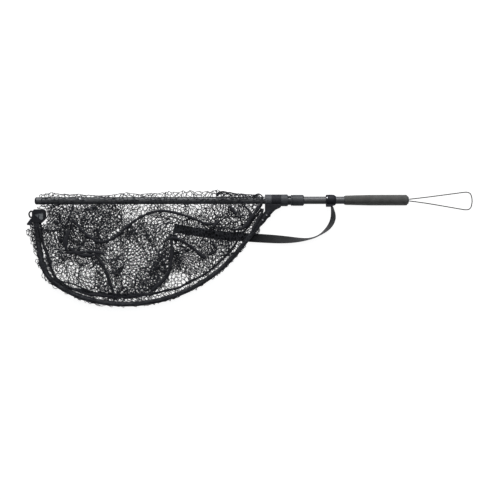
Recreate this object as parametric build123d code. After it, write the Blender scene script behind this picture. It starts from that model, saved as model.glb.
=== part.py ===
"""Folding landing net whose handle slides through the hub, shown folded with the handle slid in.

Frame: the handle's axis is X, with +X towards the grip, and the origin is the middle of the
bare stretch of tube between the lock collar and the strap cuff. The net lies flat: +Z is up,
the hoop's two arms lie one above the other on the -Y side. The front arm is the upper one, and
it swings about the X axis to open the hoop.
"""

from build123d import *
import math
import os

# ---- Driving dimensions, in millimetres and degrees ----

TUBE_R = 8.8  # the handle tube that runs through the hub
CLIP_STRETCH_R = 9.0  # its bare stretch between collar and cuff, a little thicker
CLIP_STRETCH = 51.6
TUBE_WALL = 1.0
TUBE_X = (-668.0, 218.0)

COLLAR_X = (-57.6, -26.4)
COLLAR_R = 13.2
DOG_LENGTH = 3.6  # the collar slides 6.2 to put its dogs 2.1 deep into the dog ring
SLEEVE_X = (-120.0, -42.0)
SLEEVE_R = 11.0
SLEEVE_BORE_R = 9.9
SHOULDER_X = (-65.2, -64.0)
SHOULDER_R = 11.8
REAR_RING_X = (-120.0, -105.0)
WASHER_X = (-105.0, -104.2)
KNUCKLE_X = (-104.1, -81.7)
DOG_RING_X = (-81.7, -65.3)
RING_R = 14.15
TURN_GAP = 0.05  # radial, of everything that turns or slides on the sleeve or tube
RING_CLEARANCE = 0.45  # between a bracket's web and the ring that turns beside it

CUFF_X = (26.4, 50.4)
CUFF_R = 13.5
CUFF_RIVET_X = 28.8
CUFF_RIVET_ANGLE = 24.0  # from +Z towards +Y
KEEPER_X = (26.8, 43.2)
KEEPER_Y = (-15.6, -9.6)
KEEPER_HEIGHT = 20.4
GRIP_X = (72.0, 222.0)
GRIP_R = (11.25, 12.85)
END_CAP_X = (222.0, 224.6)

ARM_R = 5.0
ARM_WALL = 1.0
ARM_Z = 8.2  # the front arm lies this far above the handle's axis, the rear arm below it
NET_ROUND_ARM = 0.7  # the thread that is wound round the arms
HOOP_START = (-128.4, -60.5)  # on the hoop's outer edge, where the arm leaves its bracket
HOOP_SLOPE = 51.2
SOCKET_DEPTH = 36.0
ARM_STRAIGHT = 78.0
HOOP_ARCS = ((355.4, 63.1), (265.5, 22.1), (94.6, 42.9), (490.1, 12.3))  # outer radius, turn
SOCKET_R = 6.4
TIP_BLOCK_LEFT = -677.4
TIP_BLOCK_LOW = -53.0  # where the arm enters its tip block
HOOK_CLIP_LENGTH = 8.6
TIP_LOOP_R = 1.9
WEB_THICK = 10.0
RIVET_AT = (12.0, 27.0)  # back from the mouth of the socket
RIVET_R = 1.2
RIVET_HEAD_R = 1.9

BAG_THICK = 9.1
BAG_GAP = 1.5  # between the bundled net and the arm
BAG_TOP_Y = -13.0

BUTTON_ANGLE = 28.5  # from +Z towards +Y, of both snap buttons and their keyway
BUTTON_R = 2.25
BUTTON_TOP = 10.6
BUTTON_X = (-122.6, -562.9)  # holds the handle in; holds it out
KEYWAY_WIDTH = 5.4

STRAP_TUBE_R = 2.6  # the same section area as webbing 20 wide and 1.1 thick
STRAP_ROUTE = [
    (41.0, -15.6, 0.0),
    (42.8, -31.0, -2.4),
    (41.5, -48.0, -4.2),
    (33.0, -64.0, -4.6),
    (18.0, -79.5, -4.4),
    (-3.0, -90.5, -4.3),
    (-30.0, -95.0, -4.5),
    (-68.0, -94.6, -4.2),
    (-110.0, -92.2, -1.6),
    (-150.0, -89.6, 0.0),
    (-215.0, -85.2, 0.0),
    (-280.0, -77.2, 0.0),
    (-338.4, -65.0, 0.0),
]

LANYARD_R = 1.25
LANYARD_ROUTE = [
    (224.6, 1.9, 0.0),
    (262.0, 6.0, -4.6),
    (310.0, 12.4, -9.2),
    (350.0, 17.6, -11.5),
    (367.5, 19.8, -11.6),
    (376.0, 15.4, -11.6),
    (379.2, 4.0, -11.6),
    (379.0, -8.5, -11.6),
    (374.0, -18.6, -11.6),
    (365.0, -23.2, -11.6),
    (345.0, -20.4, -11.5),
    (303.0, -13.2, -8.8),
    (262.0, -6.4, -4.6),
    (224.6, -1.9, 0.0),
]


# ---- Helpers ----


def along_x(x, radius, bore=0.0):
    """A cylinder or ring about the handle's axis, between two stations."""
    start, end = x
    turned = Plane((start, 0, 0), x_dir=(0, 1, 0), z_dir=(1, 0, 0))
    body = extrude(turned * Circle(radius), end - start)
    if bore:
        body -= extrude(turned * Circle(bore), end - start)
    return body


def spun(outline):
    """A solid of revolution about X from its outline's (x, radius) points."""
    return revolve(make_face(Polyline(*outline, close=True)), Axis.X)


def upright_plate(outline, low, high):
    """A plate with this outline in plan, between two heights."""
    return extrude(Plane.XY.offset(low) * make_face(Polyline(*outline, close=True)), high - low)


def at_button_angle(body):
    """Turns a body built straight up, along +Z, to the side where the snap buttons are."""
    return body.rotate(Axis.X, -BUTTON_ANGLE)


def keyway(x, top=SLEEVE_R + 0.2):
    """The slot that lets the snap buttons through, between two stations."""
    start, end = x
    height = top - TUBE_R + 2.0
    slot = Box(end - start, KEYWAY_WIDTH, height)
    return at_button_angle(slot.translate(((start + end) / 2, 0, top - height / 2)))


def corner_radii(route):
    """Each corner's radius: 0.45 of its shorter run, divided by the tangent of half its turn."""
    points = [Vector(*p) for p in route]
    radii = []
    for before, at, after in zip(points, points[1:], points[2:]):
        run_in = at - before
        run_out = after - at
        turn = math.radians(run_in.get_angle(run_out))
        radii.append(0.45 * min(run_in.length, run_out.length) / math.tan(turn / 2))
    return radii


def cord(name, route, radius):
    """A free cord's tube: straight runs joined by tangent arcs."""
    radii = corner_radii(route)
    path = FilletPolyline(*route, radius=radii)
    first_run = Vector(*route[1]) - Vector(*route[0])
    tube = sweep(Plane(route[0], z_dir=first_run) * Circle(radius), path)
    expected = math.pi * radius**2 * path.length
    print(name, "length", round(path.length, 1), "volume ratio", round(tube.volume / expected, 4))
    print(name, "radii", [round(r, 1) for r in radii])
    return tube


# ---- The hoop's outline ----


def slope_direction():
    """The direction in which an arm leaves its bracket, in plan."""
    angle = math.radians(180 + HOOP_SLOPE)
    return Vector(math.cos(angle), math.sin(angle), 0)


def hoop_point(inset, distance):
    """A point on the arm's straight part, inset from the outer edge, from its bracket's mouth."""
    ahead = slope_direction()
    inward = Vector(ahead.Y, -ahead.X, 0)
    return Vector(*HOOP_START) + inward * inset + ahead * distance


def hoop_edges(inset, start_at, last_turn_share=1.0):
    """The hoop's outline, inset from its outer edge: a straight part, then four arcs."""
    first = hoop_point(inset, start_at)
    edges = [Line(first, hoop_point(inset, ARM_STRAIGHT))]
    turns = [turn for _, turn in HOOP_ARCS]
    turns[-1] *= last_turn_share
    for (radius, _), turn in zip(HOOP_ARCS, turns):
        last = edges[-1]
        edges.append(JernArc(last @ 1, last % 1, radius - inset, -turn))
    return edges


ARM_INSET = ARM_R + NET_ROUND_ARM


def arm_path():
    return Wire(hoop_edges(ARM_INSET, -SOCKET_DEPTH))


def along_arm(radius):
    """A solid rod of this radius along the whole arm, at the front arm's height."""
    path = arm_path()
    rod = sweep(Plane(path @ 0, z_dir=path % 0) * Circle(radius), path)
    return rod.translate((0, 0, ARM_Z))


def arm_line(radius, from_mouth, to_mouth):
    """A cylinder on the arm's straight part at height zero, between distances from the mouth."""
    start = hoop_point(ARM_INSET, from_mouth)
    plane = Plane((start.X, start.Y, 0), z_dir=slope_direction())
    return extrude(plane * Circle(radius), to_mouth - from_mouth)


def rivet_points():
    return [hoop_point(ARM_INSET, -back) for back in RIVET_AT]


def upright_cylinder(point, radius, low, high):
    return extrude(Plane((point.X, point.Y, low)) * Circle(radius), high - low)


# ---- One half of the hoop, built at the front arm's height ----


def hoop_arm():
    """The bent tube of one arm, drilled for its two rivets."""
    path = arm_path()
    section = Plane(path @ 0, z_dir=path % 0) * (Circle(ARM_R) - Circle(ARM_R - ARM_WALL))
    arm = sweep(section, path).translate((0, 0, ARM_Z))
    for point in rivet_points():
        arm -= upright_cylinder(point, RIVET_R, ARM_Z - 2 * ARM_R, ARM_Z + 2 * ARM_R)
    return arm


def bracket_web():
    """The gusset that joins a hub ring to the arm's socket."""
    outline = [
        (-81.8, -10.0),
        (-83.4, -17.5),
        (-93.4, -22.0),
        (-98.9, -26.6),
        (-106.4, -35.0),
        (-106.4, -38.5),
        (-113.4, -43.0),
        (-120.4, -53.0),
        (-128.4, -60.5),
        (-137.0, -53.8),
        (-126.3, -32.7),
        (-120.0, -26.0),
        (-120.0, -10.0),
    ]
    web = upright_plate(outline, ARM_Z - WEB_THICK / 2, ARM_Z + WEB_THICK / 2)
    return chamfer(web.faces().sort_by(Axis.Z)[-1].edges(), 0.9)


def hoop_bracket(ring_x):
    """Ring round the hub sleeve, web and socket. The web clears what turns beside its ring."""
    bore = SLEEVE_R + (TURN_GAP if ring_x == KNUCKLE_X else 0.0)
    body = bracket_web() + arm_line(SOCKET_R, -SOCKET_DEPTH - 1.5, 0.0).translate((0, 0, ARM_Z))
    body -= along_x((-140.0, -60.0), RING_R + RING_CLEARANCE)
    root = upright_plate(
        [(ring_x[0], -8.0), (ring_x[1], -8.0), (ring_x[1], -16.5), (ring_x[0], -16.5)],
        ARM_Z - WEB_THICK / 2,
        ARM_Z + WEB_THICK / 2 - 2.0,
    )
    body += root
    body += along_x(ring_x, RING_R)
    body -= along_x((ring_x[0] - 1, ring_x[1] + 1), bore)
    body -= arm_line(ARM_R, -SOCKET_DEPTH, 2.0).translate((0, 0, ARM_Z))
    top = ARM_Z + SOCKET_R
    for point in rivet_points():
        body -= upright_cylinder(point, RIVET_R, 0.0, top + 1)
        body -= upright_cylinder(point, RIVET_HEAD_R + 0.4, top - 1.2, top + 1)
        body -= upright_cylinder(point, RIVET_HEAD_R, 0.0, ARM_Z - SOCKET_R + 0.8)
    return body


def hoop_rivets():
    """Two dome-headed rivets through the bracket's socket and the arm."""
    top = ARM_Z + SOCKET_R
    rivets = []
    for point in rivet_points():
        rivet = upright_cylinder(point, RIVET_R, ARM_Z - SOCKET_R + 0.1, top - 1.2)
        head = upright_cylinder(point, RIVET_HEAD_R, top - 1.2, top - 0.2)
        rivet += chamfer(head.faces().sort_by(Axis.Z)[-1].edges(), 0.6)
        foot = ARM_Z - SOCKET_R
        rivet += upright_cylinder(point, RIVET_HEAD_R - 0.4, foot + 0.1, foot + 0.8)
        rivets.append(rivet)
    return Compound(children=rivets)


def tip_block():
    """The moulded end of an arm, with a triangular recess in its outer face."""
    outline = [
        (TIP_BLOCK_LEFT, TIP_BLOCK_LOW),
        (TIP_BLOCK_LEFT, -25.6),
        (-672.4, -20.6),
        (-650.4, -20.6),
        (-646.6, -24.4),
        (-646.6, -42.6),
        (-657.0, TIP_BLOCK_LOW),
    ]
    low, high = ARM_Z - 6.0, ARM_Z + 6.0
    block = chamfer(upright_plate(outline, low, high).edges(), 0.9)
    recess = [(-654.4, -46.6), (-672.0, -32.6), (-650.6, -28.0), (-650.2, -43.0)]
    block -= upright_plate(recess, high - 1.6, high + 1)
    return block - along_arm(ARM_R)


def net_bundle():
    """The gathered netting beside one arm: a flat pack with the hoop's own outline."""
    inset = ARM_INSET + ARM_R + BAG_GAP
    edges = hoop_edges(inset, 12.0, last_turn_share=0.8)
    end = edges[-1] @ 1
    start = edges[0] @ 0
    tip_corners = [(-643.0, -47.0), (-640.0, BAG_TOP_Y)]
    hub_corners = [(-131.0, BAG_TOP_Y), (-136.0, -42.0)]
    corners = [end, *tip_corners, *hub_corners, start]
    edges += [Line(a, b) for a, b in zip(corners, corners[1:])]
    face = make_face(Wire(edges))
    low = ARM_Z - BAG_THICK / 2
    return extrude(Plane.XY.offset(low) * face, BAG_THICK)


def below(body):
    """The rear half's copy of a piece that was built for the front half."""
    return mirror(body, about=Plane.XY)


def tip_hook():
    """The pointed keeper on the front arm that the elastic loop hooks over."""
    beside_block = TIP_BLOCK_LEFT - 0.4
    under_block = TIP_BLOCK_LOW - 0.4
    outline = [
        (beside_block, -41.0),
        (-680.8, -42.6),
        (-690.4, -55.6),
        (-689.0, -58.4),
        (-672.0, -58.4),
        (-672.0, under_block),
        (beside_block, under_block),
    ]
    lug = chamfer(upright_plate(outline, ARM_Z - 3.0, ARM_Z + 3.0).edges(), 0.5)
    band = Box(40.0, HOOK_CLIP_LENGTH, 40.0).translate((-668.0, under_block - HOOK_CLIP_LENGTH / 2, ARM_Z))
    clip = along_arm(ARM_R + 1.3) & band
    return lug + clip - along_arm(ARM_R)


def tip_loop():
    """The elastic loop on the rear tip block."""
    z = -ARM_Z
    route = [
        (TIP_BLOCK_LEFT, -26.6, z),
        (-683.6, -23.8, z),
        (-688.2, -31.0, z),
        (-685.0, -39.6, z),
        (TIP_BLOCK_LEFT, -38.2, z),
    ]
    path = FilletPolyline(*route, radius=[0.8 * r for r in corner_radii(route)])
    first_run = Vector(*route[1]) - Vector(*route[0])
    return sweep(Plane(route[0], z_dir=first_run) * Circle(TIP_LOOP_R), path)


# ---- Hub ----


def hub_sleeve():
    """The tube that everything turns on, with a shoulder for the knuckle and a keyway."""
    sleeve = along_x(SLEEVE_X, SLEEVE_R) + along_x(SHOULDER_X, SHOULDER_R)
    sleeve -= along_x((SLEEVE_X[0] - 1, SLEEVE_X[1] + 1), SLEEVE_BORE_R)
    sleeve -= keyway((SLEEVE_X[0] - 1, SLEEVE_X[1] + 1), top=SHOULDER_R + 1)
    key_slot = Box(24.0, 3.2, 4.0).translate((SLEEVE_X[1] - 11.0, 0, -SLEEVE_R))
    return sleeve - key_slot


def guide_bush(x):
    """A split nylon bush between the sleeve and the sliding handle tube."""
    return along_x(x, SLEEVE_BORE_R, TUBE_R + TURN_GAP + 0.01) - keyway((x[0] - 1, x[1] + 1))


def dog_ring():
    """The ring fixed to the knuckle, with two blind pockets that the collar's dogs enter."""
    ring = along_x(DOG_RING_X, RING_R, SLEEVE_R + TURN_GAP)
    pocket = Box(6.0, 6.6, 40.0).translate((DOG_RING_X[1], 0, 0))
    pocket &= along_x((DOG_RING_X[1] - 3.0, DOG_RING_X[1] + 1.0), 13.4, SLEEVE_R)
    right_rim = ring.edges().filter_by(GeomType.CIRCLE).group_by(SortBy.RADIUS)[-1]
    return chamfer(right_rim, 0.8) - pocket


def lock_collar():
    """Slides over the sleeve towards the dog ring. A rib in the sleeve's slot stops it turning."""
    start, end = COLLAR_X
    outline = [
        (start, 0.0),
        (start, COLLAR_R - 0.6),
        (start + 0.6, COLLAR_R),
        (start + 3.3, COLLAR_R),
        (start + 3.6, COLLAR_R - 0.7),
        (start + 4.3, COLLAR_R - 0.7),
        (start + 4.6, COLLAR_R),
        (end - 2.4, COLLAR_R),
        (end, COLLAR_R - 2.4),
        (end, 0.0),
    ]
    collar = spun(outline)
    wall_start = end - 4.0
    collar -= along_x((start - 1, wall_start), SLEEVE_R + TURN_GAP)
    collar -= along_x((wall_start - 1, end + 1), TUBE_R + 0.35)
    collar -= keyway((wall_start - 1, end + 1))
    rib = Box(14.0, 2.8, 2.0).translate((start + 9.6, 0, -SLEEVE_R - 0.05))
    dogs = Box(3 * DOG_LENGTH, 5.0, 40.0).translate((start, 0, 0))
    dogs &= along_x((start - DOG_LENGTH, start + 0.5), 13.1, 12.0)
    return collar + rib + dogs


# ---- Handle ----


def handle_tube():
    """The sliding tube, with its thicker bare stretch and two holes for the snap buttons."""
    tube = along_x(TUBE_X, TUBE_R)
    tube += along_x((-CLIP_STRETCH / 2, CLIP_STRETCH / 2), CLIP_STRETCH_R)
    tube -= along_x((TUBE_X[0] - 1, TUBE_X[1] + 1), TUBE_R - TUBE_WALL)
    for x in BUTTON_X:
        hole = Cylinder(BUTTON_R + 0.15, 10.0).translate((x, 0, TUBE_R))
        tube -= at_button_angle(hole)
    return tube


def tube_cap():
    """The rounded plug in the tube's inner end."""
    x = TUBE_X[0]
    bore = TUBE_R - TUBE_WALL
    return spun(
        [
            (x - 4.0, 0.0),
            (x - 4.0, TUBE_R - 3.6),
            (x - 3.2, TUBE_R - 1.6),
            (x - 1.6, TUBE_R - 0.4),
            (x, TUBE_R),
            (x, bore),
            (x + 12.0, bore),
            (x + 13.0, bore - 1.0),
            (x + 13.0, 0.0),
        ]
    )


def snap_button(x):
    """A domed button with a flange that stops it inside the tube's wall."""
    flange = Cylinder(3.1, 0.75).translate((x, 0, 6.5))
    stem = Cylinder(BUTTON_R, BUTTON_TOP - 6.5).translate((x, 0, (BUTTON_TOP + 6.5) / 2))
    stem = fillet(stem.faces().sort_by(Axis.Z)[-1].edges(), 0.9)
    return at_button_angle(flange + stem)


def button_spring(x):
    """A hairpin leaf spring inside the tube, under a snap button."""
    route = [(x - 3.0, 0, 3.3), (x + 22.0, 0, 1.6), (x + 22.0, 0, -2.6), (x - 4.0, 0, -6.6)]
    path = FilletPolyline(*route, radius=1.8)
    leaf = Plane(route[0], x_dir=(0, 1, 0), z_dir=path % 0) * Rectangle(4.6, 0.5)
    return at_button_angle(sweep(leaf, path))


def strap_cuff():
    """The moulded cuff that holds the carry strap to the tube."""
    start, end = CUFF_X
    outline = [
        (start, TUBE_R),
        (start, CUFF_R - 1.1),
        (start + 1.0, CUFF_R - 0.3),
        (start + 7.0, CUFF_R),
        (start + 15.0, CUFF_R),
        (start + 19.5, CUFF_R - 0.5),
        (end - 0.8, CUFF_R - 3.1),
        (end, CUFF_R - 3.9),
        (end, TUBE_R),
    ]
    return spun(outline) - cuff_rivet_shank(CUFF_R + 1) - keeper_box()


def cuff_rivet_shank(top):
    """The cuff rivet's shank, from the tube's surface out to a radius."""
    shank = Cylinder(RIVET_R, top - TUBE_R).translate((CUFF_RIVET_X, 0, (top + TUBE_R) / 2))
    return shank.rotate(Axis.X, -CUFF_RIVET_ANGLE)


def keeper_box():
    """The keeper's outer block, centred on the handle's height."""
    left, right = KEEPER_X
    back, front = KEEPER_Y
    block = Box(right - left, front - back, KEEPER_HEIGHT)
    return block.translate(((left + right) / 2, (back + front) / 2, 0))


def strap_keeper():
    """The bar under the cuff that the strap's end is sewn round."""
    return chamfer(keeper_box().edges(), 0.8)


def cuff_rivet():
    """The bright rivet that pins the cuff to the tube."""
    head = Cylinder(RIVET_R + 0.4, 0.9).translate((CUFF_RIVET_X, 0, CUFF_R + 0.45))
    return cuff_rivet_shank(CUFF_R + 0.1) + head.rotate(Axis.X, -CUFF_RIVET_ANGLE)


def grip_foam():
    """The foam grip, a little thinner at its front end and rounded at its back end."""
    start, end = GRIP_X
    front, back = GRIP_R
    profile = [
        (start, TUBE_R),
        (start, front - 0.5),
        (start + 0.5, front),
        (start + 24.0, front + 0.7),
        (start + 60.0, back - 0.1),
        (end - 3.4, back),
        (end - 1.2, back - 0.9),
        (end, back - 2.9),
        (end, TUBE_R),
    ]
    return spun(profile)


def grip_front_ring():
    start = GRIP_X[0]
    return along_x((start - 1.6, start), GRIP_R[0] - 0.7, TUBE_R)


def end_cap():
    """The plug that closes the tube behind the grip, bored for the lanyard's grommet."""
    start, end = END_CAP_X
    bore = TUBE_R - TUBE_WALL
    outline = [
        (TUBE_X[1] - 14.0, 3.6),
        (TUBE_X[1] - 14.0, bore),
        (TUBE_X[1], bore),
        (TUBE_X[1], TUBE_R),
        (start, TUBE_R),
        (start, 9.6),
        (end - 0.9, 9.2),
        (end, 7.8),
        (end, 3.6),
    ]
    return spun(outline)


def lanyard_grommet():
    """The bush in the end cap that both ends of the lanyard pass through."""
    start, end = END_CAP_X
    return along_x((start - 14.0, end), 3.6)


def all_parts():
    """Every node's name with its shape."""
    parts = {
        "hub_sleeve": hub_sleeve(),
        "guide_bush_left": guide_bush((SLEEVE_X[0], SLEEVE_X[0] + 12.0)),
        "guide_bush_right": guide_bush((SLEEVE_X[1] - 12.0, SLEEVE_X[1])),
        "thrust_washer": along_x(WASHER_X, RING_R - 0.3, SLEEVE_R),
        "rear_bracket": below(hoop_bracket(REAR_RING_X)),
        "rear_hoop_arm": below(hoop_arm()),
        "rear_rivets": below(hoop_rivets()),
        "rear_tip_block": below(tip_block()),
        "rear_net_bundle": below(net_bundle()),
        "tip_loop": tip_loop(),
        "front_bracket": hoop_bracket(KNUCKLE_X),
        "dog_ring": dog_ring(),
        "front_hoop_arm": hoop_arm(),
        "front_rivets": hoop_rivets(),
        "front_tip_block": tip_block(),
        "front_net_bundle": net_bundle(),
        "tip_hook": tip_hook(),
        "lock_collar": lock_collar(),
        "handle_tube": handle_tube(),
        "tube_cap": tube_cap(),
        "strap_cuff": strap_cuff(),
        "strap_keeper": strap_keeper(),
        "cuff_rivet": cuff_rivet(),
        "grip_foam": grip_foam(),
        "grip_front_ring": grip_front_ring(),
        "end_cap": end_cap(),
        "lanyard_grommet": lanyard_grommet(),
        "carry_strap": cord("carry_strap", STRAP_ROUTE, STRAP_TUBE_R),
        "lanyard": cord("lanyard", LANYARD_ROUTE, LANYARD_R),
    }
    for name, x in zip(("stow", "extend"), BUTTON_X):
        parts[name + "_button"] = snap_button(x)
        parts[name + "_spring"] = button_spring(x)
    return parts


os.makedirs("parts", exist_ok=True)
for node, shape in all_parts().items():
    export_step(shape, "parts/" + node + ".step")
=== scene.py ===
"""The looks of a folding landing net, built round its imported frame.

All lengths are in metres, in the frame's own axes: X runs along the handle towards the grip,
the hoop is on the -Y side and +Z is up. The front half of the hoop lies on the rear half.
"""

import math

import bpy
import numpy as np
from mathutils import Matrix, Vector


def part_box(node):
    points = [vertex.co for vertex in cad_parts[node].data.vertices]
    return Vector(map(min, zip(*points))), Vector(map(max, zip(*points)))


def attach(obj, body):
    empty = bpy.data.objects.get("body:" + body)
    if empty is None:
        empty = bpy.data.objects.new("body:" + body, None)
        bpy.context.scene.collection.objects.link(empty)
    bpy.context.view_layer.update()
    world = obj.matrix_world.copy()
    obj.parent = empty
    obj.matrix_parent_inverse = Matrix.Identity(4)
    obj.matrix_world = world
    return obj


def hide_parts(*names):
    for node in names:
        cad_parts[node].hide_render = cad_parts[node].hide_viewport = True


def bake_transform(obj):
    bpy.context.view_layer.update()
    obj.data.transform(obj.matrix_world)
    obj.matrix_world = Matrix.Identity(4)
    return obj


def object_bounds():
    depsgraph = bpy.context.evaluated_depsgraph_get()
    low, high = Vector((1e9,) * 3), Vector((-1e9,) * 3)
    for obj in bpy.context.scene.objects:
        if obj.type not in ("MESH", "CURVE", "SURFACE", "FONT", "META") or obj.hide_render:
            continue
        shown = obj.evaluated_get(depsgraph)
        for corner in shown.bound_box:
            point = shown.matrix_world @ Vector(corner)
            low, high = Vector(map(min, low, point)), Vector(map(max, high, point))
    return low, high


MM = 0.001
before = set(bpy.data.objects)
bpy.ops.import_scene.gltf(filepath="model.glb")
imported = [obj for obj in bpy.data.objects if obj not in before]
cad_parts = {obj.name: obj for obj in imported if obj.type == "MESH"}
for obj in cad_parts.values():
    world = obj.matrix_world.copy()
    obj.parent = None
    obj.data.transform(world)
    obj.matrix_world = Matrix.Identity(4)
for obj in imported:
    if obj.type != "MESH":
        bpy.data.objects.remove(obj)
cad_low, cad_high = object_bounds()

# ---- Where things are ----

TUBE_R = (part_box("handle_tube")[1].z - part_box("handle_tube")[0].z) / 2
ARM_LOW, ARM_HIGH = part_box("front_hoop_arm")
ARM_Z = (ARM_LOW.z + ARM_HIGH.z) / 2
ARM_R = (ARM_HIGH.z - ARM_LOW.z) / 2
TIP_RECESS = 0.0016
TIP_BLOCK_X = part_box("front_tip_block")[1].x
TIP_BLOCK_LOW_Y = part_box("front_tip_block")[0].y
TIP_BLOCK_HIGH_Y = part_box("front_tip_block")[1].y
TUBE_END_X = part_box("tube_cap")[0].x
HUB_END_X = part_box("rear_bracket")[0].x

# The hoop's outer edge in plan: a straight part that leaves the bracket, then four arcs.
HOOP_START = (-0.1284, -0.0605)
HOOP_HEADING = math.radians(231.2)
HOOP_STRAIGHT = 0.078
HOOP_ARCS = ((0.3554, 63.1), (0.2655, 22.1), (0.0946, 42.9), (0.4901, 12.3))
ARM_INSET = 0.0057

# ---- Netting ----

MESH_SIDE = 0.006  # of the netting's hexagons
THREAD_R = 0.00074
TUBE_CLEAR = TUBE_R + 0.0014  # how near the netting's thread comes to the handle's axis
ARM_CLEAR = ARM_R + 0.0009
CELL_AREA_PER_THREAD = 0.8660 * MESH_SIDE**2

LEAF_MARGIN = 0.03
FRONT_COVER_TOP = 0.004  # how far across the handle tube the two halves' netting reaches
REAR_COVER_TOP = -0.004
SPINE_WIDTH = 0.044
SPINE_TURN = math.radians(92)  # half of the turn that the netting makes round the tube
SMALL_FOLD = 0.0026
OUTER_HEIGHTS = (0.0088, 0.0137)
INNER_HEIGHTS = (0.0026, 0.0105)
FOLD_WAVE = 0.10  # how often the netting's wide and small folds come
SMALL_FOLD_WAVE = 0.030
LIFT_WAVE = 0.045
RAGGED_EDGE = 0.0025
RAGGED_WAVE = 0.05
NODE_JITTER = 0.0006
RIPPLE_TERMS = 7
HOOP_STEP = 0.004
RELAX_ROUNDS = 30
RELAX_PULL = 1.4

# How far a leaf is pushed together along its own two axes.
FOLDED = (0.76, 0.88)
FOLDED_MORE = (0.72, 0.84)
FOLDED_NARROW = (0.65, 0.80)
FRINGE_FOLDED = (0.6, 0.8)
SMALL_DRAG = 0.004  # how far the folds of a narrow leaf drag it
FRINGE_DRAG = 0.003

SEAM_Z = 0.0130
SEAM_WAVE = 0.0012
SEAM_FLATNESS = 0.7
SEAM_STEP = 0.0025
TUBE_SIDES = 10

HEM_Z = 0.0088
HEM_Z_WAVE = 0.0012
HEM_WANDER = 0.0009
HEM_STEP = 0.003
HEM_FLATNESS = 0.8

WINDING_STEP = 0.0011
WINDING_PITCH = 0.011
WINDING_STRANDS = 5
WINDING_GAP = 0.0003  # from the arm to the thread that is wound round it
WINDING_LAYER = 0.0002
WINDING_UNEVEN = 0.00006
WINDING_THREAD_R = 0.0004

SPINE_UNEVEN = 0.0011
SPINE_DRAG = 0.003
SPINE_WAVE = 0.03
SPINE_REACH_CHANGE = 0.16
SPINE_REACH_WAVE = 0.018
SPINE_ROUNDNESS = 1.4  # above 1, the netting past the tube comes to a sharper edge
GATHERED_LENGTH = 0.11  # of the second layer next to the hub
TIE_STEP = 0.002
HEM_START_REACH = (0.020, 0.026, 0)  # from the hoop's straight part up to the handle tube
HEM_END_REACH = (0.002, 0.018, 0)

# How far the rim hem lies inside the hoop's outer edge, and how far the netting hangs out past
# it, at shares of the hoop's outline from hub to tip.
HEM_INSETS = (
    (0.0, 0.0240),
    (0.23, 0.0185),
    (0.37, 0.0220),
    (0.50, 0.0235),
    (0.62, 0.0215),
    (0.68, 0.0180),
    (0.74, 0.0138),
    (0.79, 0.0150),
    (0.82, 0.0200),
    (0.86, 0.0230),
    (0.89, 0.0218),
    (0.92, 0.0160),
    (0.95, 0.0135),
    (1.0, 0.0120),
)
HEM_RADII = (
    (0.0, 0.0023),
    (0.45, 0.0022),
    (0.55, 0.0029),
    (0.68, 0.0031),
    (0.76, 0.0022),
    (0.85, 0.0026),
    (1.0, 0.0025),
)
# How much further inside the rear half's hem lies.
REAR_HEM_INSETS = (
    (0.0, 0.0004),
    (0.45, 0.0004),
    (0.55, 0.0040),
    (0.66, 0.0040),
    (0.74, 0.0006),
    (1.0, 0.0015),
)
FRINGE_REACHES = (
    (0.0, 0.0022),
    (0.012, 0.0060),
    (0.023, 0.0105),
    (0.034, 0.0040),
    (0.050, 0.0022),
    (0.70, 0.0022),
    (0.86, 0.0035),
    (0.90, 0.0065),
    (0.94, 0.0115),
    (0.97, 0.0145),
    (1.0, 0.0135),
)

# How far the netting hangs out past the handle tube's far side, at places along X.
SPINE_REACHES = (
    (-0.672, 0.0020),
    (-0.640, 0.0080),
    (-0.600, 0.0055),
    (-0.560, 0.0048),
    (-0.525, 0.0020),
    (-0.500, 0.0020),
    (-0.457, 0.0085),
    (-0.415, 0.0045),
    (-0.375, 0.0090),
    (-0.327, 0.0110),
    (-0.275, 0.0115),
    (-0.231, 0.0120),
    (-0.205, 0.0085),
    (-0.178, 0.0045),
    (-0.150, 0.0028),
    (-0.120, 0.0020),
)

# ---- Camera, light and floor ----

VIEW_CENTRE = (-0.156, -0.119)
VIEW_WIDTH = 1.2
VIEW_ROLL = math.radians(-0.12)
LENS_MM = 100.0
SENSOR_MM = 36.0
FLOOR_GAP = 0.0005
FLOOR_GLOW = 0.93  # the paper is lit from below, as on a light table, so that shadows stay faint


def look_at(obj, target):
    obj.rotation_euler = (Vector(target) - obj.location).to_track_quat("-Z", "Y").to_euler()


def add_camera():
    data = bpy.data.cameras.new("camera")
    data.lens = LENS_MM
    data.sensor_width = SENSOR_MM
    camera = bpy.data.objects.new("camera", data)
    camera.location = (*VIEW_CENTRE, VIEW_WIDTH * LENS_MM / SENSOR_MM)
    camera.rotation_euler = (0, 0, VIEW_ROLL)
    bpy.context.scene.collection.objects.link(camera)
    bpy.context.scene.camera = camera


def add_area_light(name, location, size, power):
    data = bpy.data.lights.new(name, "AREA")
    data.shape = "RECTANGLE"
    data.size, data.size_y = size
    data.energy = power
    light = bpy.data.objects.new(name, data)
    light.location = location
    bpy.context.scene.collection.objects.link(light)
    look_at(light, (*VIEW_CENTRE, 0))


def add_floor():
    bpy.ops.mesh.primitive_plane_add(size=8, location=(*VIEW_CENTRE, cad_low.z - FLOOR_GAP))
    floor = bpy.context.object
    floor.name = "floor"
    surface = Surface("floor_paper")
    surface.set(roughness=0.9, specular=0.0)
    surface.colour((0.35, 0.35, 0.35))
    surface.shader.inputs["Emission Color"].default_value = (1, 1, 1, 1)
    surface.shader.inputs["Emission Strength"].default_value = FLOOR_GLOW
    floor.data.materials.append(surface.material)
    floor.visible_glossy = False


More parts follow.
